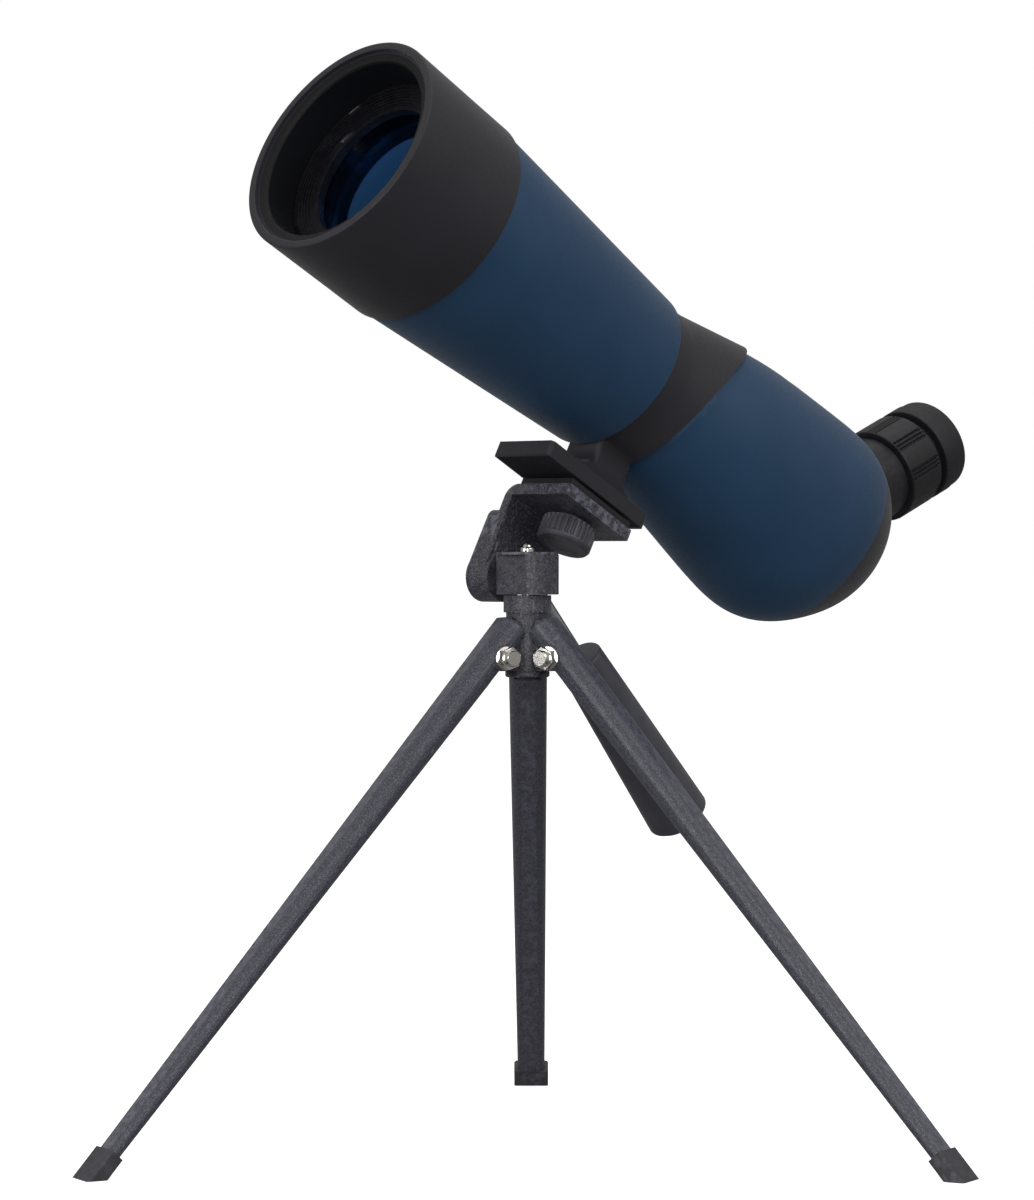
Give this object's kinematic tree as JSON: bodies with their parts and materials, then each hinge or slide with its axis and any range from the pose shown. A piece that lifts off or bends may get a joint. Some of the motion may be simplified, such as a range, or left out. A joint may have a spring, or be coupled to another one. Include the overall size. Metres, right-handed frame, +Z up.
{
  "type": "telescope on tripod",
  "caption": "Angled spotting telescope with a zoom eyepiece on a folding table tripod with a pan and tilt head and a handle.",
  "frame": {"origin": "on the floor, at the middle of the whole object's footprint box", "axes": "+Z up; the telescope points to -Y and up; +X is the telescope's left"},
  "size_m": [0.2916, 0.39, 0.3808],
  "materials": {
    "blue_rubber_armour": "matt rubberised",
    "black_rubber_armour": "matt rubberised",
    "black_anodised": "black anodised",
    "coated_glass": "blue coated",
    "soft_rubber": "matt",
    "ribbed_plastic": "moulded ribs",
    "smooth_plastic": "smooth",
    "speckled_enamel": "wrinkled enamel",
    "leg_enamel": "fine hammered enamel",
    "boot_rubber": "moulded",
    "brass": "turned",
    "plated_steel": "bright nickel"
  },
  "bodies": {
    "tripod_hub": {"hub": "speckled_enamel", "pan_bolt": "plated_steel"},
    "pan_head": {"pan_block": "speckled_enamel", "pan_disc": "speckled_enamel"},
    "pan_handle": {"handle_grip": "smooth_plastic", "handle_rod": "plated_steel"},
    "telescope": {"tilt_bracket": "speckled_enamel", "tilt_pin": "plated_steel", "platform_pad": "soft_rubber", "shoe_pad": "soft_rubber", "collar": "black_rubber_armour", "screw_insert": "brass", "dew_hood": "black_rubber_armour", "hood_liner": "black_anodised", "front_barrel": "blue_rubber_armour", "objective_cell": "black_anodised", "objective_retainer": "black_anodised", "objective_spacer": "black_anodised", "objective_front_lens": "coated_glass", "objective_rear_lens": "coated_glass", "baffle_rings": "black_anodised", "rear_housing": "blue_rubber_armour", "rear_cover": "black_rubber_armour", "eyepiece_tube": "black_anodised", "eyepiece_head": "black_anodised", "eye_lens": "coated_glass", "field_stop": "black_anodised", "field_lens": "coated_glass", "eyecup": "soft_rubber", "prism_bracket": "black_anodised", "roof_prism": "coated_glass"},
    "camera_screw": {"mount_knob": "ribbed_plastic", "mount_screw": "plated_steel"},
    "zoom_ring": {"zoom_ring": "ribbed_plastic"},
    "zoom_cell": {"zoom_cell": "black_anodised", "zoom_lens": "coated_glass"},
    "focus_knob": {"focus_knob": "ribbed_plastic", "focus_screw": "plated_steel"},
    "focus_carriage": {"focus_carriage": "black_anodised", "focus_prism": "coated_glass"},
    "leg_left": {"leg_tube_left": "leg_enamel", "leg_boot_left": "boot_rubber", "leg_bolt_left": "plated_steel", "leg_washers_left": "plated_steel", "leg_nut_left": "plated_steel"},
    "leg_right": {"leg_tube_right": "leg_enamel", "leg_boot_right": "boot_rubber", "leg_bolt_right": "plated_steel", "leg_washers_right": "plated_steel", "leg_nut_right": "plated_steel"},
    "leg_rear": {"leg_tube_rear": "leg_enamel", "leg_boot_rear": "boot_rubber", "leg_bolt_rear": "plated_steel", "leg_washers_rear": "plated_steel", "leg_nut_rear": "plated_steel"}
  },
  "joints": [
    {"name": "pan", "type": "hinge", "parent": "tripod_hub", "child": "pan_head", "pos_m": [-0.02065, -0.02843, 0.193], "axis": [0, 0, 1], "range_deg": [-58, 10]},
    {"name": "tilt", "type": "hinge", "parent": "pan_head", "child": "telescope", "pos_m": [-0.02065, -0.02843, 0.1993], "axis": [-1, 0, 0], "range_deg": [-58, 31]},
    {"name": "handle_turn", "type": "hinge", "parent": "pan_head", "child": "pan_handle", "pos_m": [-0.02585, -0.02299, 0.1993], "axis": [0, 0.66, -0.7513], "range_deg": [-270, 0]},
    {"name": "camera_screw_turn", "type": "hinge", "parent": "telescope", "child": "camera_screw", "pos_m": [-0.02065, -0.01131, 0.21025], "axis": [0, 0.4779, 0.8784], "continuous": true},
    {"name": "zoom_turn", "type": "hinge", "parent": "telescope", "child": "zoom_ring", "pos_m": [-0.02065, 0.15732, 0.23667], "axis": [0, 0.9242, 0.3819], "range_deg": [0, 120]},
    {"name": "zoom_cell_slide", "type": "slide", "parent": "telescope", "child": "zoom_cell", "axis": [0, 0.9242, 0.3819], "range_m": [0, 0.004]},
    {"name": "focus_turn", "type": "hinge", "parent": "telescope", "child": "focus_knob", "pos_m": [-0.04765, 0.14752, 0.23262], "axis": [0, 0.9242, 0.3819], "range_deg": [-360, 360]},
    {"name": "focus_slide", "type": "slide", "parent": "telescope", "child": "focus_carriage", "axis": [0, 0.9242, 0.3819], "range_m": [-0.0024, 0.0024]},
    {"name": "leg_left_fold", "type": "hinge", "parent": "tripod_hub", "child": "leg_left", "pos_m": [-0.02391, -0.0407, 0.1712], "axis": [0.9664, -0.2571, 0], "range_deg": [0, 41.4]},
    {"name": "leg_right_fold", "type": "hinge", "parent": "tripod_hub", "child": "leg_right", "pos_m": [-0.00839, -0.02512, 0.1712], "axis": [-0.2605, 0.9655, 0], "range_deg": [0, 41.4]},
    {"name": "leg_rear_fold", "type": "hinge", "parent": "tripod_hub", "child": "leg_rear", "pos_m": [-0.02965, -0.01946, 0.1712], "axis": [0.7059, 0.7083, 0], "range_deg": [-41.4, 0]}
  ],
  "couplings": [
    {"joint": "zoom_cell_slide", "follows": "zoom_turn", "m_per_rad": 0.0019097},
    {"joint": "focus_turn", "follows": "focus_slide", "rad_per_m": 2617.7}
  ]
}
